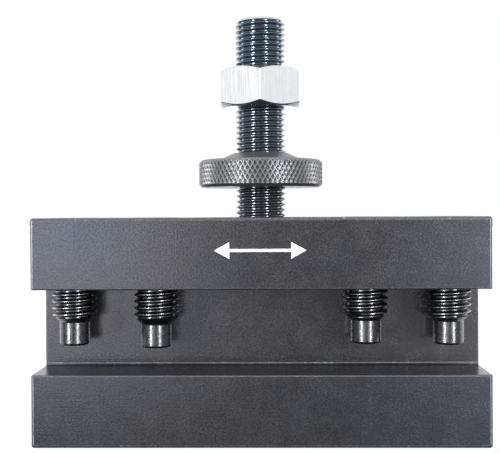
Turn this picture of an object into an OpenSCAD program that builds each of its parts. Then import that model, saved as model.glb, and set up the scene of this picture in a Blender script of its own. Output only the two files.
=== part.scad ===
// Turning and facing tool holder for a wedge-type quick-change tool post.
// The origin is the middle of the block's underside. X runs along the tool slot, which opens
// toward -Y, the dovetail recess opens toward +Y, and +Z is up. Millimetres.

/* [Holder block] */
// Length of the block along the tool slot
block_length = 120; // [112:1:140]
// Thickness of the block, from the slot side to the dovetail side
block_depth = 47; // [45:1:60]
// Height of the block
block_height = 60; // [56:1:70]
// Chamfer on the block's outer edges
edge_chamfer = 0.8; // [0.4:0.1:1.5]

/* [Tool slot] */
// Height of the slot floor above the underside
slot_floor_z = 19.1; // [14:0.1:22]
// Height of the slot opening
slot_height = 22.1; // [20:0.1:26]
// How far the slot reaches into the block
slot_depth = 17.5; // [15:0.5:18]
// Chamfer on the two lips of the slot
lip_chamfer = 0.5; // [0.2:0.1:1]
// Radius of the slot's two inner corners
slot_corner_r = 0.8; // [0.4:0.1:2]

/* [Dovetail recess] */
// Width of the recess where it meets the rear face
dovetail_mouth = 50; // [40:1:60]
// Depth of the recess
dovetail_depth = 12; // [8:0.5:12]
// Angle between each side and the rear face, degrees
dovetail_angle = 60; // [55:1:70]

/* [Height stud] */
// Thread diameter of the stud
stud_diameter = 14; // [12:1:16]
// Pitch of the stud's thread
stud_pitch = 1.5; // [1:0.25:2]
// Distance of the stud's axis behind the front face
stud_setback = 26; // [26:0.5:26.5]
// Depth of the stud's hole in the block
stud_seat_depth = 17; // [12:0.5:18]
// Height of the stud's end above the underside
stud_top_z = 115.9; // [110:0.5:125]

/* [Height wheel and lock nut] */
// Diameter of the knurled wheel
wheel_diameter = 35; // [30:0.5:40]
// Thickness of the wheel's rim
wheel_thickness = 7.7; // [6:0.1:10]
// Gap between the block and the wheel
wheel_gap = 8.4; // [2:0.1:10]
// Height of the raised boss on the wheel
boss_height = 2; // [1:0.1:3]
// Width of the lock nut across its flats
nut_across_flats = 22; // [22:1:24]
// Height of the lock nut
nut_height = 11; // [8:0.5:13]
// Gap between the wheel's boss and the lock nut
nut_gap = 12.7; // [2:0.1:14]

/* [Clamp screws] */
// Thread diameter of the four screws
screw_diameter = 12; // [10:1:12]
// Pitch of the screws' thread
screw_pitch = 1.75; // [1.5:0.25:1.75]
// Length of each screw
screw_length = 30; // [25:1:35]
// Diameter of each screw's plain nose
nose_diameter = 8.1; // [7:0.1:9]
// Distance of each outer screw from the middle
outer_screw_x = 50; // [49:0.1:51]
// Distance of each inner screw from the middle
inner_screw_x = 28; // [26:0.1:32]
// Width of each screw's hex socket across its flats
socket_across_flats = 6; // [5:0.5:6]
// Depth of each hex socket
socket_depth = 6; // [4:0.5:8]

/* [Hidden] */
$fn = 96;

// One screw per column, from -X to +X: its place, and how high its nose stands above the slot floor
screw_x = [-outer_screw_x, -inner_screw_x, inner_screw_x, outer_screw_x];
screw_lift = [7.0, 6.3, 7.3, 7.0];

front_y = -block_depth / 2;
rear_y = block_depth / 2;
slot_roof_z = slot_floor_z + slot_height;
slot_back_y = front_y + slot_depth;
screw_y = front_y + slot_depth / 2;
stud_y = front_y + stud_setback;
stud_seat_z = block_height - stud_seat_depth;
wheel_z = block_height + wheel_gap;
wheel_top_z = wheel_z + wheel_thickness;
boss_top_z = wheel_top_z + boss_height;
nut_z = boss_top_z + nut_gap;
nut_top_z = nut_z + nut_height;

// Radial clearance between each threaded bore and the crests of the thread that runs in it
running_clearance = 0.05;
// Crest flat, groove depth and flank angle of a metric thread, the first two per unit of pitch
crest_flat_ratio = 1 / 8;
thread_depth_ratio = 0.613;
flank_angle = 30;

// Lead-in cone at the mouth of each threaded hole, and at the ends of the wheel's and nut's bores
hole_lead_in = 0.8;
bore_lead_in = 0.5;
// Chamfers of the stud's end, the wheel's rim, the screws' noses and the screws' tops
stud_end_chamfer = 1.3;
wheel_rim_chamfer = 0.8;
nose_chamfer = 0.5;
screw_top_chamfer = 0.9;
// Radius of the boss at the wheel's face and at its top
boss_base_r = 12;
boss_top_r = 7.8;
// The nut's end faces are round, this much of its width across flats, and its corners slope at 30 degrees
nut_face_ratio = 0.95;
nut_corner_angle = 30;
// Length of the plain nose below the cone that leads up to the thread
nose_length = 6.2;
// Overshoot that keeps cuts from ending on the faces that they open
over = 1;

// Corners of a rectangle from (x0, y0) to (x1, y1) with each corner cut off by c
function cut_rectangle(x0, y0, x1, y1, c) = [
    [x0 + c, y0], [x1 - c, y0], [x1, y0 + c], [x1, y1 - c],
    [x1 - c, y1], [x0 + c, y1], [x0, y1 - c], [x0, y0 + c]
];

// Half of a turned outline with one groove for each turn of a thread, from height z0 upward
function thread_outline(crest_r, pitch, z0, turns) =
    let(
        depth = thread_depth_ratio * pitch,
        root_r = crest_r - depth,
        mouth = (1 - crest_flat_ratio) * pitch / 2,
        floor_half = mouth - depth * tan(flank_angle)
    )
    [for (i = [0 : turns - 1], p = [
        [crest_r, -mouth], [root_r, -floor_half], [root_r, floor_half], [crest_r, mouth]
    ]) [p[0], z0 + (i + 0.5) * pitch + p[1]]];

// Round hole from z0 to z1 with a lead-in cone at the top end and, if both is true, at the lower end
module threaded_hole(r, z0, z1, lead_in, both) {
    translate([0, 0, z0 - (both ? over : 0)])
        cylinder(r = r, h = z1 - z0 + (both ? 2 : 1) * over);
    translate([0, 0, z1 - lead_in])
        cylinder(r1 = r, r2 = r + lead_in + over, h = lead_in + over);
    if (both)
        translate([0, 0, z0 - over])
            cylinder(r1 = r + lead_in + over, r2 = r, h = lead_in + over);
}

// Side view of the block, as [y, z], with the tool slot and its rounded inner corners
module block_side_view() {
    r = slot_corner_r;
    difference() {
        polygon(cut_rectangle(front_y, 0, rear_y, block_height, edge_chamfer));
        union() {
            polygon([
                [front_y - over, slot_floor_z - lip_chamfer - over],
                [front_y + lip_chamfer, slot_floor_z],
                [slot_back_y - r, slot_floor_z],
                [slot_back_y, slot_floor_z + r],
                [slot_back_y, slot_roof_z - r],
                [slot_back_y - r, slot_roof_z],
                [front_y + lip_chamfer, slot_roof_z],
                [front_y - over, slot_roof_z + lip_chamfer + over]
            ]);
            for (z = [slot_floor_z + r, slot_roof_z - r])
                translate([slot_back_y - r, z]) circle(r = r);
        }
    }
}

// Top view of the block, as [x, y], with the dovetail recess
module block_top_view() {
    mouth_x = dovetail_mouth / 2;
    spread = dovetail_depth / tan(dovetail_angle);
    slope = 1 / tan(dovetail_angle);
    difference() {
        polygon(cut_rectangle(-block_length / 2, front_y, block_length / 2, rear_y, edge_chamfer));
        polygon([
            [-mouth_x - spread, rear_y - dovetail_depth],
            [mouth_x + spread, rear_y - dovetail_depth],
            [mouth_x + edge_chamfer * slope, rear_y - edge_chamfer],
            [mouth_x + edge_chamfer + over, rear_y + over],
            [-mouth_x - edge_chamfer - over, rear_y + over],
            [-mouth_x - edge_chamfer * slope, rear_y - edge_chamfer]
        ]);
    }
}

// Front view of the block, as [x, z]
module block_front_view() {
    polygon(cut_rectangle(-block_length / 2, 0, block_length / 2, block_height, edge_chamfer));
}

// Block with the slot along X, the dovetail along Z, four screw holes and the stud's blind hole
module holder_body() {
    color([0.2, 0.2, 0.23])
    difference() {
        intersection() {
            rotate([90, 0, 90])
                linear_extrude(height = block_length + 2 * over, center = true) block_side_view();
            translate([0, 0, -over])
                linear_extrude(height = block_height + 2 * over) block_top_view();
            rotate([90, 0, 0])
                linear_extrude(height = block_depth + 2 * over, center = true) block_front_view();
        }
        for (x = screw_x)
            translate([x, screw_y, 0])
                threaded_hole(screw_diameter / 2 + running_clearance,
                              slot_roof_z, block_height, hole_lead_in, true);
        translate([0, stud_y, 0])
            threaded_hole(stud_diameter / 2 + running_clearance,
                          stud_seat_z, block_height, hole_lead_in, false);
    }
}

// Threaded rod that stands in the block's blind hole and touches its floor
module height_stud() {
    crest_r = stud_diameter / 2;
    turns = floor((stud_top_z - stud_end_chamfer - block_height) / stud_pitch);
    color([0.16, 0.17, 0.2])
    translate([0, stud_y, 0])
    rotate_extrude()
    polygon(concat(
        [[0, stud_seat_z], [crest_r - 1, stud_seat_z], [crest_r, stud_seat_z + 1]],
        thread_outline(crest_r, stud_pitch, block_height, turns),
        [[crest_r, stud_top_z - stud_end_chamfer],
         [crest_r - stud_end_chamfer, stud_top_z],
         [0, stud_top_z]]
    ));
}

// Round wheel that sets the holder's height, with a low boss on top
module height_wheel() {
    wheel_r = wheel_diameter / 2;
    color([0.42, 0.42, 0.42])
    translate([0, stud_y, 0])
    difference() {
        rotate_extrude()
        polygon([
            [0, wheel_z],
            [wheel_r - wheel_rim_chamfer, wheel_z],
            [wheel_r, wheel_z + wheel_rim_chamfer],
            [wheel_r, wheel_top_z - wheel_rim_chamfer],
            [wheel_r - wheel_rim_chamfer, wheel_top_z],
            [boss_base_r, wheel_top_z],
            [boss_top_r, boss_top_z],
            [0, boss_top_z]
        ]);
        threaded_hole(stud_diameter / 2 + running_clearance, wheel_z, boss_top_z, bore_lead_in, true);
    }
}

// Hex nut that locks the wheel, with one corner toward -Y
module lock_nut() {
    corner_r = nut_across_flats / 2 / cos(30);
    face_r = nut_face_ratio * nut_across_flats / 2;
    corner_drop = (corner_r - face_r) * tan(nut_corner_angle);
    color([0.85, 0.86, 0.87])
    translate([0, stud_y, 0])
    difference() {
        intersection() {
            translate([0, 0, nut_z])
                rotate([0, 0, 30]) cylinder(r = corner_r, h = nut_height, $fn = 6);
            rotate_extrude()
            polygon([
                [0, nut_z],
                [face_r, nut_z],
                [corner_r, nut_z + corner_drop],
                [corner_r + over, nut_z + corner_drop + over * tan(nut_corner_angle)],
                [corner_r + over, nut_top_z - corner_drop - over * tan(nut_corner_angle)],
                [corner_r, nut_top_z - corner_drop],
                [face_r, nut_top_z],
                [0, nut_top_z]
            ]);
        }
        threaded_hole(stud_diameter / 2 + running_clearance, nut_z, nut_top_z, bore_lead_in, true);
    }
}

// Clamp screw number i, counted from -X: a plain nose, a cone, the thread and a hex socket on top
module set_screw(i) {
    crest_r = screw_diameter / 2;
    nose_r = nose_diameter / 2;
    thread_z = nose_length + crest_r - nose_r;
    thread_end_z = screw_length - screw_top_chamfer;
    turns = floor((thread_end_z - thread_z) / screw_pitch);
    color([0.7, 0.71, 0.73])
    translate([screw_x[i], screw_y, slot_floor_z + screw_lift[i]])
    difference() {
        rotate_extrude()
        polygon(concat(
            [[0, 0], [nose_r - nose_chamfer, 0], [nose_r, nose_chamfer], [nose_r, nose_length]],
            thread_outline(crest_r, screw_pitch, thread_z, turns),
            [[crest_r, thread_end_z], [crest_r - screw_top_chamfer, screw_length], [0, screw_length]]
        ));
        translate([0, 0, screw_length - socket_depth])
            cylinder(r = socket_across_flats / 2 / cos(30), h = socket_depth + over, $fn = 6);
    }
}

module set_screw_1() { set_screw(0); }
module set_screw_2() { set_screw(1); }
module set_screw_3() { set_screw(2); }
module set_screw_4() { set_screw(3); }

holder_body();
height_stud();
height_wheel();
lock_nut();
set_screw_1();
set_screw_2();
set_screw_3();
set_screw_4();
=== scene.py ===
"""Looks of a quick-change tool holder: black block, clamp screws, height stud, knurled wheel and nut.

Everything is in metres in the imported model's frame. -Y is the side with the tool slot, +Y has the
dovetail recess, and the height stud stands along +Z. Each CAD node gets a detailed mesh that keeps its
size and place.
"""

import math
from math import cos, pi, radians, sin, tan

import bmesh
import bpy
from mathutils import Matrix, Vector


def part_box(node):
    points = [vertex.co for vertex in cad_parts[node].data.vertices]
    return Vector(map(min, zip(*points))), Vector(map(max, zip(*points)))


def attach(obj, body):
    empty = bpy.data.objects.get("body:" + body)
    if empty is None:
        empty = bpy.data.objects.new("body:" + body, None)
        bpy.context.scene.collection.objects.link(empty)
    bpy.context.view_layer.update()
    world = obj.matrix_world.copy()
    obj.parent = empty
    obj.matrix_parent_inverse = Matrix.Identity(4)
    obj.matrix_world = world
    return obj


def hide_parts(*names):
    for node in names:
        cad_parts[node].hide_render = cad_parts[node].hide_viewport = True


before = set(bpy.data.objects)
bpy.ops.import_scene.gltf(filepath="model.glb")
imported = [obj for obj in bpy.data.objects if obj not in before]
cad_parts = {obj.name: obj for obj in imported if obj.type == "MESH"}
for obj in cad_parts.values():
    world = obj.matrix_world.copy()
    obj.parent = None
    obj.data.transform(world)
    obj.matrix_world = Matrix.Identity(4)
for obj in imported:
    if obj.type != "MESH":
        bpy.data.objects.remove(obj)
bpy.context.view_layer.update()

MM = 0.001
MICRON = 1e-6
SCREWS = ["set_screw_1", "set_screw_2", "set_screw_3", "set_screw_4"]

# Sizes that the boxes of the CAD nodes don't give
SLOT_FLOOR = 19.1 * MM
SLOT_ROOF = 41.2 * MM
SLOT_DEPTH = 17.5 * MM
DOVETAIL_DEPTH = 12 * MM
DOVETAIL_MOUTH = 50 * MM
DOVETAIL_ANGLE = radians(60)
STUD_PITCH = 1.5 * MM
STUD_CHAMFER = 1.2 * MM
SCREW_PITCH = 1.75 * MM
NOSE_RADIUS = 4.05 * MM
NOSE_LENGTH = 6.2 * MM
NOSE_CHAMFER = 0.5 * MM
SCREW_CHAMFER = 0.9 * MM
SOCKET_FLATS = 6 * MM
SOCKET_DEPTH = 6 * MM
NUT_FACE_SHARE = 0.95
NUT_SLOPE = tan(pi / 6)
CLEARANCE = 0.05 * MM
# How far a cutting tool reaches past the faces that it opens
PAST = 1 * MM
RECESS_PAST = 2 * MM

# Rounding of the block's edges: outer ones, slot lips, slot ends, slot corners and recess corners
OUTER_BEVEL = 0.8 * MM
LIP_BEVEL = 0.45 * MM
END_BEVEL = 0.35 * MM
SLOT_FILLET = 0.8 * MM
RECESS_FILLET = 0.4 * MM
LEAD_IN = 0.8 * MM

# Arrow on the upper lip: its place as a share of the lip's height, and how deep its cut and filler start
ARROW_HEIGHT = 0.545
ENGRAVING_DEPTH = 0.35 * MM
FILL_DEPTH = 0.06 * MM

# Diamond knurl on the wheel's rim
KNURL_STARTS = 80
KNURL_DEPTH = 0.42 * MM
WHEEL_BOSS = 2 * MM
WHEEL_CHAMFER = 0.8 * MM
BOSS_BASE_R = 12 * MM
BOSS_TOP_R = 7.8 * MM

# Light tent: radiance of its parts. Azimuths count from -Y toward +X, in degrees
FRONT_LIGHT = 0.17
SIDE_LIGHT = 1.15
TABLE_LIGHT = 0.16
BACK_LIGHT = 1.1
TOP_LIGHT = 1.2
TOP_RISE = (32, 52)
# Two softboxes in front, two behind, and two soft glows in front, each as
# (azimuth, width, lowest rise, highest rise, soft edge, radiance)
LAMPS = [
    (-37, 9, -10, 28, 3, 34.0),
    (32, 8, -10, 28, 3, 28.0),
    (-113, 16, -14, 28, 4, 5.5),
    (113, 16, -14, 28, 4, 5.5),
    (-13, 14, -8, 6, 6, 2.1),
    (18, 14, -10, 12, 9, 1.0),
]

# Pale sheet under the object: its glow, and how far behind the front face it starts
FLOOR_GLOW = 0.42
FLOOR_SETBACK = 8 * MM

# Camera: focal length in millimetres, distance in front of the block, place, and turns in degrees
CAMERA_LENS = 70.16
CAMERA_DISTANCE = 251.9 * MM
CAMERA_X = 2.54 * MM
CAMERA_Z = 60.95 * MM
CAMERA_YAW = 1.17
CAMERA_PITCH = -0.753
CAMERA_ROLL = -0.285

# Metric thread form, per unit of pitch
THREAD_DEPTH = 0.613
CREST_HALF = 1 / 16
CREST_ROUNDING = 0.035
CREST_DROP = 0.012
HOLE_THREAD_DEPTH = 0.4
FLANK_ANGLE = radians(30)


def middle(node):
    """Middle of a CAD node's box."""
    low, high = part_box(node)
    return (low + high) / 2


# ---------------------------------------------------------------- meshes


def add_piece(name, mesh):
    piece = bpy.data.objects.new(name, mesh)
    bpy.context.scene.collection.objects.link(piece)
    return piece


def mesh_of(bm, name):
    """Turns a bmesh into a mesh with its normals pointing outward."""
    bmesh.ops.recalc_face_normals(bm, faces=bm.faces)
    mesh = bpy.data.meshes.new(name)
    bm.to_mesh(mesh)
    bm.free()
    return mesh


def settle(piece):
    """Applies a piece's modifiers to its mesh."""
    graph = bpy.context.evaluated_depsgraph_get()
    mesh = bpy.data.meshes.new_from_object(piece.evaluated_get(graph))
    piece.modifiers.clear()
    piece.data = mesh
    return piece


def weld(piece):
    """Merges points closer than a micron, so that no sliver or gap is left."""
    bm = bmesh.new()
    bm.from_mesh(piece.data)
    bmesh.ops.remove_doubles(bm, verts=bm.verts, dist=MICRON)
    bmesh.ops.dissolve_degenerate(bm, dist=MICRON, edges=bm.edges)
    bm.to_mesh(piece.data)
    bm.free()
    return piece


def combine(piece, tool, operation):
    """Cuts, joins or intersects a piece with another one, which is used up."""
    cut = piece.modifiers.new("cut", "BOOLEAN")
    cut.operation = operation
    cut.solver = "EXACT"
    cut.object = tool
    settle(piece)
    bpy.data.objects.remove(tool)
    return weld(piece)


def smooth(piece, angle=32):
    """Shades a piece smooth, with flat faces kept flat, but sharp past a bend of angle degrees."""
    piece.data.shade_smooth()
    piece.data.set_sharp_from_angle(angle=radians(angle))
    normals = piece.modifiers.new("normals", "WEIGHTED_NORMAL")
    normals.keep_sharp = True
    return settle(piece)


def rounded(outline, radius, steps=4):
    """Outline [(r, z)] with an arc at each inner corner, smaller where radius wouldn't fit."""
    result = [outline[0]]
    for before, corner, after in zip(outline, outline[1:], outline[2:]):
        here = Vector(corner)
        back, ahead = Vector(before) - here, Vector(after) - here
        half = back.angle(ahead) / 2
        room = min(back.length, ahead.length) * 0.45
        reach = min(radius / tan(half), room) if half < radians(89) else 0
        if reach <= 0:
            result.append(corner)
            continue
        start, end = here + back.normalized() * reach, here + ahead.normalized() * reach
        centre = here + (back.normalized() + ahead.normalized()).normalized() * reach / cos(half)
        size = (start - centre).length
        for i in range(steps + 1):
            toward = (start - centre).lerp(end - centre, i / steps).normalized()
            result.append(tuple(centre + toward * size))
    return result + [outline[-1]]


def turned(name, outline, at, steps=96):
    """Solid made by turning an outline [(r, z)] about a vertical line. It starts and ends on that line."""
    bm = bmesh.new()
    rings = []
    for r, z in outline:
        count = 1 if r < 1e-9 else steps
        rings.append([
            bm.verts.new((at.x + r * cos(2 * pi * i / steps), at.y + r * sin(2 * pi * i / steps), z))
            for i in range(count)
        ])
    for low, high in zip(rings, rings[1:]):
        for i in range(steps):
            j = (i + 1) % steps
            corners = [low[i % len(low)], low[j % len(low)], high[j % len(high)], high[i % len(high)]]
            bm.faces.new(list(dict.fromkeys(corners)))
    return add_piece(name, mesh_of(bm, name))


def prism(name, outline, low, high, axis):
    """Closed prism: outline points are the two coordinates other than axis, in X, Y, Z order."""
    def place(point, along):
        where = list(point)
        where.insert(axis, along)
        return where

    bm = bmesh.new()
    near = [bm.verts.new(place(point, low)) for point in outline]
    far = [bm.verts.new(place(point, high)) for point in outline]
    bm.faces.new(near)
    bm.faces.new(far)
    for i in range(len(outline)):
        j = (i + 1) % len(outline)
        bm.faces.new([near[i], near[j], far[j], far[i]])
    return add_piece(name, mesh_of(bm, name))


def thread_form(crest_r, pitch, depth_share, flank_steps=3):
    """One turn of a thread's outline as (share of the pitch, radius), from crest to crest."""
    down = [(CREST_HALF * 0.5, crest_r), (CREST_HALF, crest_r - CREST_DROP * pitch)]
    for i in range(flank_steps + 1):
        drop = CREST_ROUNDING + (depth_share - CREST_ROUNDING) * i / flank_steps
        down.append((CREST_HALF + drop * tan(FLANK_ANGLE), crest_r - drop * pitch))
    return down + [(1 - share, r) for share, r in reversed(down)]


def slice_flat(bm, z, side):
    """Cuts a tube off at height z, keeps what is below (side 1) or above (side -1), and closes the end."""
    geometry = bm.verts[:] + bm.edges[:] + bm.faces[:]
    bmesh.ops.bisect_plane(bm, geom=geometry, plane_co=(0, 0, z), plane_no=(0, 0, side), clear_outer=True)
    rim = [edge for edge in bm.edges if edge.is_boundary and abs(edge.verts[0].co.z - z) < 1e-7]
    bmesh.ops.contextual_create(bm, geom=rim)


def threaded_rod(name, crest_r, pitch, low, high, at, steps=72, turn=0.0, depth=THREAD_DEPTH):
    """Closed rod with a right-hand helical thread, cut flat at both ends. turn shifts it, in turns."""
    form = thread_form(crest_r, pitch, depth)
    first = math.floor(low / pitch) - 2
    count = (math.ceil(high / pitch) + 2 - first) * len(form)
    bm = bmesh.new()
    columns = []
    for i in range(steps):
        angle = 2 * pi * i / steps
        column = []
        for row in range(count):
            share, r = form[row % len(form)]
            z = pitch * (first + row // len(form) + share + i / steps + turn)
            column.append(bm.verts.new((at.x + r * cos(angle), at.y + r * sin(angle), z)))
        columns.append(column)
    for i in range(steps):
        # Past the seam, the same height is one turn further along the thread
        shift = len(form) if i == steps - 1 else 0
        here, there = columns[i], columns[(i + 1) % steps]
        for row in range(count - 1 - shift):
            bm.faces.new([here[row], there[row + shift], there[row + 1 + shift], here[row + 1]])
    slice_flat(bm, high, 1)
    slice_flat(bm, low, -1)
    return add_piece(name, mesh_of(bm, name))


def knurled_drum(name, radius, starts, depth, low, high, at):
    """Closed drum with a diamond knurl: two sets of ridges at 30 degrees to the axis, and pits between."""
    # Shares of the spacing at which a ridge's flat top ends and the pit's flat floor starts
    marks = [-0.07, 0.07, 0.42, 0.58]
    levels = [1, 1, 0, 0]
    spacing_z = 2 * pi * radius / starts / tan(radians(30))
    reach = math.ceil((high - low) / spacing_z * len(marks)) + 2 * len(marks)
    around = starts * len(marks)
    mid_z = (low + high) / 2
    bm = bmesh.new()
    made = {}

    def corner(i, j):
        key = (i % around, i - j)
        if key not in made:
            i, j = key[0], key[0] - key[1]
            p = i // len(marks) + marks[i % len(marks)]
            q = j // len(marks) + marks[j % len(marks)]
            height = max(levels[i % len(marks)], levels[j % len(marks)])
            angle = (p + q) * pi / starts
            r = radius - depth * (1 - height)
            z = mid_z + (p - q) * spacing_z / 2
            made[key] = bm.verts.new((at.x + r * cos(angle), at.y + r * sin(angle), z))
        return made[key]

    for i in range(around):
        for j in range(i - reach, i + reach):
            bm.faces.new([corner(i, j), corner(i + 1, j), corner(i + 1, j + 1), corner(i, j + 1)])
    slice_flat(bm, high, 1)
    slice_flat(bm, low, -1)
    return add_piece(name, mesh_of(bm, name))


# ---------------------------------------------------------------- pieces


def bevel_share(edge, low, high):
    """How much of the full bevel an edge of the sharp block gets: outer edges all of it, slot lips less."""
    a, b = (vert.co for vert in edge.verts)
    front, slot_back = low.y, low.y + SLOT_DEPTH
    recess_floor = high.y - DOVETAIL_DEPTH

    def both(axis, value):
        return abs(a[axis] - value) < MICRON and abs(b[axis] - value) < MICRON

    ends = sum(both(0, v) for v in (low.x, high.x))
    sides = sum(both(1, v) for v in (low.y, high.y))
    caps = sum(both(2, v) for v in (low.z, high.z))
    if ends + sides + caps >= 2:
        return OUTER_BEVEL
    if any(both(2, z) for z in (SLOT_FLOOR, SLOT_ROOF)):
        if both(1, slot_back):
            return SLOT_FILLET
        return LIP_BEVEL if both(1, front) else END_BEVEL
    if both(1, slot_back) and ends:
        return END_BEVEL
    if sides:
        return OUTER_BEVEL
    if both(1, recess_floor) and not caps:
        return RECESS_FILLET
    return END_BEVEL if caps else 0


def sharp_block(low, high):
    """The block with its slot and its dovetail recess, before its edges are bevelled."""
    slot_back = low.y + SLOT_DEPTH
    side = [
        (low.y, low.z), (high.y, low.z), (high.y, high.z), (low.y, high.z),
        (low.y, SLOT_ROOF), (slot_back, SLOT_ROOF), (slot_back, SLOT_FLOOR), (low.y, SLOT_FLOOR),
    ]
    block = prism("block", side, low.x, high.x, 0)
    floor_y = high.y - DOVETAIL_DEPTH
    mouth = DOVETAIL_MOUTH / 2
    spread = 1 / tan(DOVETAIL_ANGLE)
    recess = [
        (-mouth - DOVETAIL_DEPTH * spread, floor_y), (mouth + DOVETAIL_DEPTH * spread, floor_y),
        (mouth - RECESS_PAST * spread, high.y + RECESS_PAST),
        (-mouth + RECESS_PAST * spread, high.y + RECESS_PAST),
    ]
    tool = prism("recess", recess, low.z - RECESS_PAST, high.z + RECESS_PAST, 2)
    return combine(block, tool, "DIFFERENCE")


def bevel_block(block, low, high):
    """Rounds the block's edges, each by its own amount."""
    mesh = block.data
    bm = bmesh.new()
    bm.from_mesh(mesh)
    bmesh.ops.remove_doubles(bm, verts=bm.verts, dist=MICRON)
    bmesh.ops.dissolve_limit(bm, angle_limit=radians(0.5), verts=bm.verts, edges=bm.edges)
    weight = bm.edges.layers.float.new("bevel_weight_edge")
    for edge in bm.edges:
        edge[weight] = bevel_share(edge, low, high) / OUTER_BEVEL
    bm.to_mesh(mesh)
    bm.free()
    bevel = block.modifiers.new("bevel", "BEVEL")
    bevel.limit_method = "WEIGHT"
    bevel.width = OUTER_BEVEL
    bevel.segments = 4
    bevel.use_clamp_overlap = False
    return settle(block)


def threaded_hole(name, r, low, high, at):
    """Tool that cuts a threaded hole through the block, with a lead-in cone at each end."""
    groove = HOLE_THREAD_DEPTH * SCREW_PITCH
    ends = (low - PAST, high + PAST)
    hole = threaded_rod(name, r + groove, SCREW_PITCH, *ends, at, 64, depth=HOLE_THREAD_DEPTH)
    wide, narrow = r + LEAD_IN + PAST, r * 0.9
    for mouth, way in ((low, -1), (high, 1)):
        outer_z, inner_z = mouth + way * PAST, mouth - way * (wide - narrow - PAST)
        cone = [(0, outer_z), (wide, outer_z), (narrow, inner_z), (0, inner_z)]
        combine(hole, turned("lead_in", cone, at, 64), "UNION")
    return hole


def arrow_outline(centre_x, centre_z):
    """Plain two-headed arrow, as (x, z)."""
    tip, neck, head, shaft = 12 * MM, 8 * MM, 2.2 * MM, 0.4 * MM
    half = [(tip, 0), (neck, head), (neck, shaft)]
    upper = half + [(-x, z) for x, z in reversed(half)]
    lower = [(x, -z) for x, z in reversed(upper[1:-1])]
    return [(centre_x + x, centre_z + z) for x, z in upper + lower]


def make_block():
    low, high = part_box("holder_body")
    block = bevel_block(sharp_block(low, high), low, high)
    block.name = "black_block"
    mark_bevel_faces(block)
    for screw in SCREWS:
        at = middle(screw)
        r = (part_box(screw)[1].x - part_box(screw)[0].x) / 2 + CLEARANCE
        combine(block, threaded_hole("hole", r, SLOT_ROOF, high.z, at), "DIFFERENCE")
    at, r = middle("height_stud"), stud_radius() + CLEARANCE
    seat_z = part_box("height_stud")[0].z
    well = [
        (0, seat_z), (r, seat_z), (r, high.z - LEAD_IN),
        (r + LEAD_IN + PAST, high.z + PAST), (0, high.z + PAST)
    ]
    combine(block, turned("well", well, at), "DIFFERENCE")
    outline = arrow_outline(0, SLOT_ROOF + (high.z - SLOT_ROOF) * ARROW_HEIGHT)
    engraved_y = low.y + ENGRAVING_DEPTH
    combine(block, prism("engraving", outline, low.y - PAST, engraved_y, 1), "DIFFERENCE")
    fill = prism("arrow_fill", outline, low.y + FILL_DEPTH, engraved_y, 1)
    return smooth(block), fill


def mark_bevel_faces(block):
    """Marks the faces of the rounded edges, where the black finish wears off first."""
    mesh = block.data
    flag = mesh.attributes.new("worn_edge", "FLOAT", "FACE")
    for face, value in zip(mesh.polygons, flag.data):
        normal = face.normal
        flat = max(abs(normal.x), abs(normal.y), abs(normal.z)) > 0.999
        slanted = abs(abs(normal.x) - sin(DOVETAIL_ANGLE)) < 1e-3 and abs(normal.z) < 1e-3
        value.value = 0.0 if flat or slanted and face.area > 1e-5 else 1.0


def stud_radius():
    low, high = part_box("height_stud")
    return (high.x - low.x) / 2


def make_stud():
    low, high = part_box("height_stud")
    at, r = middle("height_stud"), stud_radius()
    rod = threaded_rod("stud", r, STUD_PITCH, low.z - MM, high.z + MM, at, turn=0.35)
    end = STUD_CHAMFER
    outline = rounded([
        (0, low.z), (r - end, low.z), (r + MM, low.z + end + MM),
        (r + MM, high.z - end - MM), (r - end, high.z), (0, high.z)
    ], 0.3 * MM)
    return smooth(combine(rod, turned("stud_ends", outline, at), "INTERSECT"), 24)


def bore(r, low, high, at, lead_in=0.5 * MM):
    """Tool that cuts a plain bore with a lead-in cone at each end."""
    wide = r + lead_in + PAST
    return turned("bore", [
        (0, low - PAST), (wide, low - PAST), (r, low + lead_in),
        (r, high - lead_in), (wide, high + PAST), (0, high + PAST)
    ], at)


def make_wheel():
    low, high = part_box("height_wheel")
    at, r = middle("height_wheel"), (high.x - low.x) / 2
    rim = WHEEL_CHAMFER
    drum = knurled_drum("wheel", r, KNURL_STARTS, KNURL_DEPTH, low.z - MM, high.z + MM, at)
    face = high.z - WHEEL_BOSS
    outline = rounded([
        (0, low.z), (r - rim, low.z), (r + MM, low.z + rim + MM),
        (r + MM, face - rim - MM), (r - rim, face), (BOSS_BASE_R, face), (BOSS_TOP_R, high.z), (0, high.z)
    ], 0.25 * MM)
    combine(drum, turned("rim", outline, at, 144), "INTERSECT")
    combine(drum, bore(stud_radius() + CLEARANCE, low.z, high.z, at), "DIFFERENCE")
    return smooth(drum, 24)


def hexagon(corner_r, at, first_angle=0.0):
    """Corners of a hexagon, as (x, y), around a vertical axis."""
    angles = [first_angle + i * pi / 3 for i in range(6)]
    return [(at.x + corner_r * cos(angle), at.y + corner_r * sin(angle)) for angle in angles]


def make_nut():
    low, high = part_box("lock_nut")
    at, flats = middle("lock_nut"), (high.x - low.x) / 2
    corner = flats / cos(pi / 6)
    nut = prism("nut", hexagon(corner, at, pi / 6), low.z, high.z, 2)
    face = flats * NUT_FACE_SHARE
    wide = corner + MM
    drop = (wide - face) * NUT_SLOPE
    outline = [
        (0, low.z), (face, low.z), (wide, low.z + drop),
        (wide, high.z - drop), (face, high.z), (0, high.z)
    ]
    combine(nut, turned("nut_cone", outline, at, 144), "INTERSECT")
    soften = nut.modifiers.new("soften", "BEVEL")
    soften.width = 0.15 * MM
    soften.segments = 2
    soften.angle_limit = radians(25)
    settle(nut)
    combine(nut, bore(stud_radius() + CLEARANCE, low.z, high.z, at), "DIFFERENCE")
    return smooth(nut)


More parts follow.
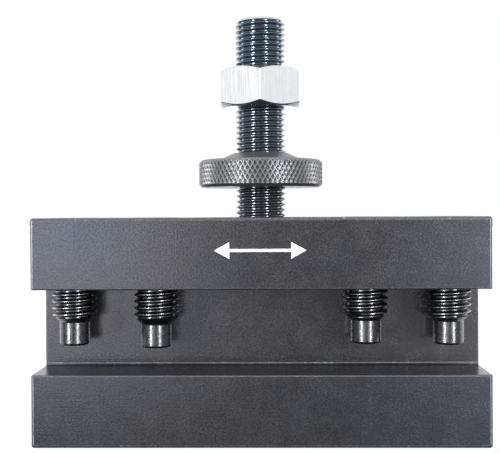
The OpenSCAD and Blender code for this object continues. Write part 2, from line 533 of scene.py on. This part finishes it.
def make_screw(node):
    low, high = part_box(node)
    at, r = middle(node), (high.x - low.x) / 2
    nose_r, nose, chamfer, top = NOSE_RADIUS, NOSE_LENGTH, NOSE_CHAMFER, SCREW_CHAMFER
    rod = threaded_rod(node + "_threaded", r, SCREW_PITCH, low.z - MM, high.z + MM, at, 64)
    outline = rounded([
        (0, low.z), (nose_r - chamfer, low.z), (nose_r, low.z + chamfer), (nose_r, low.z + nose),
        (r + MM, low.z + nose + r + MM - nose_r), (r + MM, high.z - top - MM),
        (r - top, high.z), (0, high.z)
    ], 0.3 * MM)
    combine(rod, turned("screw_ends", outline, at), "INTERSECT")
    socket_r = SOCKET_FLATS / 2 / cos(pi / 6)
    socket = prism("socket", hexagon(socket_r, at), high.z - SOCKET_DEPTH, high.z + PAST, 2)
    cone_z = high.z - 0.4 * MM
    cone = [(0, cone_z), (socket_r - 0.35 * MM, cone_z), (socket_r + MM, high.z + PAST), (0, high.z + PAST)]
    combine(socket, turned("socket_mouth", cone, at, 48), "UNION")
    return smooth(combine(rod, socket, "DIFFERENCE"), 24)


# ---------------------------------------------------------------- materials


def add(tree, kind, settings=None, inputs=None):
    """Adds a node. A value in inputs is a number, a colour or the socket to link."""
    made = tree.nodes.new(kind)
    for key, value in (settings or {}).items():
        setattr(made, key, value)
    for key, value in (inputs or {}).items():
        if isinstance(value, bpy.types.NodeSocket):
            tree.links.new(value, made.inputs[key])
        else:
            made.inputs[key].default_value = value
    return made


def new_material(name, **constants):
    """Material with a Principled shader. constants are set on the shader's own sockets."""
    material = bpy.data.materials.new(name)
    material.use_nodes = True
    shader = material.node_tree.nodes["Principled BSDF"]
    for key, value in constants.items():
        shader.inputs[key.replace("_", " ")].default_value = value
    return material, material.node_tree, shader


def grey(value):
    return (value, value, value, 1)


def calc(tree, operation, a, b=0.0):
    return add(tree, "ShaderNodeMath", {"operation": operation}, {0: a, 1: b}).outputs[0]


def fade(tree, value, low, high, first=0.0, last=1.0):
    """Smooth step of a value: first below low, last above high."""
    settings = {"interpolation_type": "SMOOTHSTEP"}
    sockets = {"Value": value, "From Min": low, "From Max": high, "To Min": first, "To Max": last}
    return add(tree, "ShaderNodeMapRange", settings, sockets).outputs["Result"]


def blend_colours(tree, factor, first, second, how="MIX"):
    settings = {"data_type": "RGBA", "blend_type": how}
    return add(tree, "ShaderNodeMix", settings, {0: factor, 6: first, 7: second}).outputs[2]


def place(tree):
    return add(tree, "ShaderNodeTexCoord").outputs["Object"]


def noise(tree, size, detail=2.0, stretch=(1, 1, 1)):
    """Noise with features of the given size in metres, stretched along each axis."""
    scale = tuple(1 / (size * part) for part in stretch)
    at = add(tree, "ShaderNodeMapping", None, {"Vector": place(tree), "Scale": scale}).outputs[0]
    sockets = {"Vector": at, "Scale": 1.0, "Detail": detail}
    return add(tree, "ShaderNodeTexNoise", None, sockets).outputs["Fac"]


def radius_from(tree, at):
    """Distance of the surface from a vertical axis."""
    parts = add(tree, "ShaderNodeSeparateXYZ", None, {0: place(tree)}).outputs
    across = calc(tree, "SUBTRACT", parts[0], at.x)
    deep = calc(tree, "SUBTRACT", parts[1], at.y)
    squares = calc(tree, "ADD", calc(tree, "MULTIPLY", across, across), calc(tree, "MULTIPLY", deep, deep))
    return calc(tree, "SQRT", squares)


def bump(tree, shader, height, distance, strength=1.0):
    sockets = {"Height": height, "Distance": distance, "Strength": strength}
    tree.links.new(add(tree, "ShaderNodeBump", None, sockets).outputs[0], shader.inputs["Normal"])


def connect(tree, shader, **sockets):
    for key, value in sockets.items():
        tree.links.new(value, shader.inputs[key.replace("_", " ")])


def black_oxide():
    """Black oxide: a painted bluish reflection on the front near the ends, warmer elsewhere, worn on the
    rounded edges.
    """
    material, tree, shader = new_material("black_oxide", Metallic=0.93, IOR=1.5)
    parts = add(tree, "ShaderNodeSeparateXYZ", None, {0: place(tree)}).outputs
    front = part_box("holder_body")[0].y
    # Painted reflection: a bluish tint on the front face that grows toward both ends
    end = fade(tree, calc(tree, "ABSOLUTE", parts[0]), 15 * MM, 58 * MM, 0.0, 0.75)
    end = calc(tree, "MULTIPLY", end, fade(tree, parts[1], front + MM, front + 4 * MM, 1.0, 0.0))
    cloud = fade(tree, noise(tree, 22 * MM, 3.0), 0.35, 0.65, -0.1, 0.35)
    warm, painted_reflection_blue = (0.15, 0.14, 0.155, 1), (0.114, 0.14, 0.178, 1)
    colour = blend_colours(tree, calc(tree, "ADD", end, cloud), warm, painted_reflection_blue)
    grain = noise(tree, 0.5 * MM, 2.0)
    colour = blend_colours(tree, fade(tree, grain, 0.3, 0.7, 0.6, 0.0), colour, (0.06, 0.06, 0.065, 1))
    flag = add(tree, "ShaderNodeAttribute", {"attribute_name": "worn_edge"}).outputs["Fac"]
    wear = calc(tree, "MULTIPLY", flag, fade(tree, noise(tree, 0.9 * MM, 3.0), 0.58, 0.72, 0.06, 0.5))
    colour = blend_colours(tree, wear, colour, grey(0.4))
    rough = calc(tree, "ADD", fade(tree, noise(tree, 6 * MM, 3.0), 0.3, 0.7, 0.2, 0.24),
                 fade(tree, noise(tree, 0.45 * MM, 3.0), 0.3, 0.7, -0.02, 0.05))
    rough = calc(tree, "ADD", rough, calc(tree, "MULTIPLY", flag, 0.15))
    connect(tree, shader, Base_Color=colour, Roughness=rough)
    milling = noise(tree, 0.35 * MM, 2.0, (40, 1, 1))
    height = calc(tree, "ADD", calc(tree, "MULTIPLY", grain, 0.7), calc(tree, "MULTIPLY", milling, 0.3))
    bump(tree, shader, height, 0.03 * MM)
    return material


def white_paint():
    """Matt white filler in the engraved arrow."""
    material, tree, shader = new_material("white_filler", IOR=1.45, Roughness=0.6)
    colour = blend_colours(tree, noise(tree, 0.5 * MM, 3.0), (0.62, 0.63, 0.6, 1), (0.85, 0.86, 0.83, 1))
    connect(tree, shader, Base_Color=colour)
    bump(tree, shader, noise(tree, 0.3 * MM, 2.0), 0.02 * MM)
    return material


def oxide_thread():
    """Black oxide on the stud: steel blue, with the crests lighter, partly rubbed and partly a painted
    highlight, and the end chamfer bare.
    """
    material, tree, shader = new_material("black_oxide_thread", Metallic=0.8, IOR=1.5)
    reach = radius_from(tree, middle("height_stud"))
    top, end = stud_radius(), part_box("height_stud")[1].z
    # Lighter crests: partly rubbed, partly a painted highlight
    crest = fade(tree, reach, top - 0.2 * MM, top, 0.0, 0.4)
    rise = add(tree, "ShaderNodeSeparateXYZ", None, {0: place(tree)}).outputs[2]
    colour = blend_colours(tree, noise(tree, 3 * MM, 3.0), (0.07, 0.10, 0.135, 1), (0.095, 0.12, 0.145, 1))
    lower = fade(tree, rise, end - 52 * MM, end - 10 * MM, 0.8, 0.0)
    colour = blend_colours(tree, lower, colour, (0.075, 0.08, 0.09, 1))
    colour = blend_colours(tree, crest, colour, (0.2, 0.23, 0.27, 1))
    slope = end + top - STUD_CHAMFER
    bare = fade(tree, calc(tree, "ADD", rise, reach), slope - 0.2 * MM, slope)
    colour = blend_colours(tree, bare, colour, (0.55, 0.56, 0.56, 1))
    rough = fade(tree, noise(tree, 0.6 * MM, 3.0), 0.3, 0.7, 0.1, 0.2)
    connect(tree, shader, Base_Color=colour, Roughness=rough)
    bump(tree, shader, noise(tree, 0.25 * MM, 2.0), 0.01 * MM)
    return material


def knurled_steel():
    """Wheel: the knurl's ridges and the upper rim chamfer rubbed lighter, dark oxide in the pits."""
    material, tree, shader = new_material("knurled_steel", Metallic=0.85)
    low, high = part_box("height_wheel")
    at, top = middle("height_wheel"), (high.x - low.x) / 2
    reach = radius_from(tree, at)
    rise = add(tree, "ShaderNodeSeparateXYZ", None, {0: place(tree)}).outputs[2]
    rim = calc(tree, "ADD", rise, reach)
    face = high.z - WHEEL_BOSS
    chamfer = fade(tree, rim, face + top - WHEEL_CHAMFER - 0.2 * MM, face + top - WHEEL_CHAMFER)
    outer = fade(tree, reach, top - WHEEL_CHAMFER - 0.1 * MM, top - WHEEL_CHAMFER)
    ridge = fade(tree, reach, top - KNURL_DEPTH * 0.45, top - KNURL_DEPTH * 0.05)
    patch = fade(tree, noise(tree, 2 * MM, 3.0), 0.3, 0.7, 0.7, 1.0)
    worn_chamfer = calc(tree, "MULTIPLY", chamfer, outer)
    worn_ridge = calc(tree, "MULTIPLY", ridge, patch)
    bare = calc(tree, "MAXIMUM", worn_chamfer, worn_ridge)
    dark = blend_colours(tree, outer, (0.2, 0.205, 0.215, 1), (0.105, 0.107, 0.115, 1))
    connect(tree, shader, Base_Color=blend_colours(tree, bare, dark, (0.21, 0.21, 0.22, 1)))
    connect(tree, shader, Roughness=fade(tree, noise(tree, 0.5 * MM, 2.0), 0.3, 0.7, 0.34, 0.46))
    bump(tree, shader, noise(tree, 0.3 * MM, 2.0), 0.01 * MM)
    return material


def zinc():
    """Bright zinc on the nut, with faint drawing lines along its flats and painted shade and dark
    reflection on its lower cone.
    """
    material, tree, shader = new_material("bright_zinc", Metallic=1.0)
    low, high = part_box("lock_nut")
    face = (high.x - low.x) / 2 * NUT_FACE_SHARE
    parts = add(tree, "ShaderNodeSeparateXYZ", None, {0: place(tree)}).outputs
    outward = calc(tree, "SUBTRACT", radius_from(tree, middle("lock_nut")), face)
    cone = calc(tree, "MULTIPLY", outward, NUT_SLOPE)
    above = calc(tree, "SUBTRACT", calc(tree, "SUBTRACT", parts[2], low.z), cone)
    drawing = noise(tree, 0.35 * MM, 3.0, (1, 1, 30))
    dull, pale = (0.66, 0.67, 0.68, 1), (0.74, 0.74, 0.75, 1)
    colour = blend_colours(tree, fade(tree, drawing, 0.3, 0.7), dull, pale)
    cloud = fade(tree, noise(tree, 4 * MM, 4.0), 0.5, 0.75, 0.0, 0.3)
    colour = blend_colours(tree, cloud, colour, (0.6, 0.59, 0.58, 1))
    # Painted shade and dark reflection: the lower chamfer cone is coloured dark
    under = fade(tree, above, 0.03 * MM, 0.15 * MM, 1.0, 0.0)
    colour = blend_colours(tree, under, colour, (0.16, 0.18, 0.2, 1))
    connect(tree, shader, Base_Color=colour, Roughness=fade(tree, drawing, 0.3, 0.7, 0.18, 0.25))
    bump(tree, shader, drawing, 0.004 * MM)
    return material


def oiled_screw_steel(node):
    """Clamp screw: smooth oiled black steel, with painted shade down in the thread, and crests lighter:
    partly worn bare, partly a painted highlight.
    """
    material, tree, shader = new_material(node + "_steel", Metallic=1.0)
    low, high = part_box(node)
    top = (high.x - low.x) / 2
    depth = THREAD_DEPTH * SCREW_PITCH
    rise = add(tree, "ShaderNodeSeparateXYZ", None, {0: place(tree)}).outputs[2]
    reach = radius_from(tree, middle(node))
    thread = fade(tree, rise, low.z + NOSE_LENGTH, low.z + NOSE_LENGTH + 1.4 * MM)
    # Painted shade: darker colour down in the thread grooves
    painted_groove_shade = calc(tree, "MULTIPLY", thread, fade(tree, reach, top - depth, top - 0.1 * MM, 1.0, 0.0))
    dark, light = (0.09, 0.092, 0.098, 1), (0.125, 0.127, 0.133, 1)
    colour = blend_colours(tree, noise(tree, 1.5 * MM, 4.0), dark, light)
    colour = blend_colours(tree, painted_groove_shade, colour, (0.09, 0.095, 0.105, 1))
    # Lighter crests: partly worn bare steel, partly a painted highlight along the crest lines
    crest = calc(tree, "MULTIPLY", thread, fade(tree, reach, top - 0.15 * MM, top - 0.03 * MM, 0.0, 0.5))
    colour = blend_colours(tree, crest, colour, (0.38, 0.38, 0.39, 1))
    grain = noise(tree, 0.3 * MM, 3.0, (1, 1, 3))
    connect(tree, shader, Base_Color=colour, Roughness=fade(tree, grain, 0.3, 0.7, 0.2, 0.36))
    bump(tree, shader, grain, 0.006 * MM)
    return material


# ---------------------------------------------------------------- studio


def window(tree, value, centre, half, soft):
    """1 within half of the centre, falling to 0 over soft on each side."""
    off = calc(tree, "ABSOLUTE", calc(tree, "SUBTRACT", value, centre))
    return fade(tree, off, half - soft / 2, half + soft / 2, 1.0, 0.0)


def studio_world():
    """Light tent over a dark table: bright behind, above and at the sides, dark in front, with lamps."""
    world = bpy.data.worlds.new("light_tent")
    bpy.context.scene.world = world
    world.use_nodes = True
    tree = world.node_tree
    tree.nodes.clear()
    toward = add(tree, "ShaderNodeTexCoord").outputs["Generated"]
    parts = add(tree, "ShaderNodeSeparateXYZ", None, {0: toward}).outputs
    x, y, rise = parts[0], parts[1], parts[2]
    azimuth = calc(tree, "ARCTAN2", x, calc(tree, "MULTIPLY", y, -1.0))
    away = calc(tree, "ABSOLUTE", azimuth)
    light = fade(tree, away, radians(43), radians(53), FRONT_LIGHT, SIDE_LIGHT)
    light = fade(tree, rise, sin(radians(-5)), sin(radians(3)), TABLE_LIGHT, light)
    light = fade(tree, away, radians(112), radians(122), light, BACK_LIGHT)
    light = fade(tree, rise, *(sin(radians(angle)) for angle in TOP_RISE), light, TOP_LIGHT)
    for centre, width, low, high, soft, power in LAMPS:
        across = window(tree, azimuth, radians(centre), radians(width / 2), radians(soft))
        centre_rise, half_rise = sin(radians((low + high) / 2)), sin(radians((high - low) / 2))
        tall = window(tree, rise, centre_rise, half_rise, sin(radians(soft)))
        beam = calc(tree, "MULTIPLY", calc(tree, "MULTIPLY", across, tall), power)
        light = calc(tree, "ADD", light, beam)
    lit = add(tree, "ShaderNodeBackground", None, {"Strength": light})
    seen = add(tree, "ShaderNodeBackground", None, {"Strength": 1.0, "Color": (1, 1, 1, 1)})
    lit.inputs["Color"].default_value = (0.97, 0.99, 1.0, 1)
    straight = add(tree, "ShaderNodeLightPath").outputs["Is Camera Ray"]
    chosen = add(tree, "ShaderNodeMixShader", None, {0: straight, 1: lit.outputs[0], 2: seen.outputs[0]})
    add(tree, "ShaderNodeOutputWorld", None, {"Surface": chosen.outputs[0]})


def white_floor():
    """Pale sheet under the object. Its front edge is under the block, so none of it lies in front."""
    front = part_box("holder_body")[0].y + FLOOR_SETBACK
    corners = [(-4, front, 0), (4, front, 0), (4, 4, 0), (-4, 4, 0)]
    bm = bmesh.new()
    bm.faces.new([bm.verts.new(corner) for corner in corners])
    floor = add_piece("floor", mesh_of(bm, "floor"))
    material, tree, shader = new_material("white_floor", Roughness=0.9, Specular_IOR_Level=0.0)
    shader.inputs["Emission Color"].default_value = grey(1.0)
    shader.inputs["Emission Strength"].default_value = FLOOR_GLOW
    connect(tree, shader, Base_Color=blend_colours(tree, noise(tree, 0.4, 2.0), grey(0.8), grey(0.84)))
    floor.data.materials.append(material)


def product_camera():
    """Level view from the front, slightly right of the middle, as in a catalogue picture."""
    camera = bpy.data.objects.new("camera", bpy.data.cameras.new("camera"))
    bpy.context.scene.collection.objects.link(camera)
    bpy.context.scene.camera = camera
    camera.data.lens = CAMERA_LENS
    camera.data.clip_start = 0.01
    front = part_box("holder_body")[0].y
    camera.matrix_world = (
        Matrix.Translation((CAMERA_X, front - CAMERA_DISTANCE, CAMERA_Z))
        @ Matrix.Rotation(radians(CAMERA_YAW), 4, "Z")
        @ Matrix.Rotation(radians(90 + CAMERA_PITCH), 4, "X")
        @ Matrix.Rotation(radians(CAMERA_ROLL), 4, "Z")
    )


def finish_piece(piece, material, body, node):
    """Gives a piece its material, ties it to its body, and hides the CAD node it stands for, if one is
    given.
    """
    piece.data.materials.clear()
    piece.data.materials.append(material)
    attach(piece, body)
    if node:
        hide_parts(node)


block, arrow = make_block()
finish_piece(block, black_oxide(), "holder", "holder_body")
finish_piece(arrow, white_paint(), "holder", None)
finish_piece(make_stud(), oxide_thread(), "holder", "height_stud")
finish_piece(make_wheel(), knurled_steel(), "wheel", "height_wheel")
finish_piece(make_nut(), zinc(), "nut", "lock_nut")
for number, screw in enumerate(SCREWS, 1):
    finish_piece(make_screw(screw), oiled_screw_steel(screw), f"screw_{number}", screw)

studio_world()
white_floor()
product_camera()
scene = bpy.context.scene
scene.view_settings.view_transform = "Standard"
scene.cycles.use_denoising = True
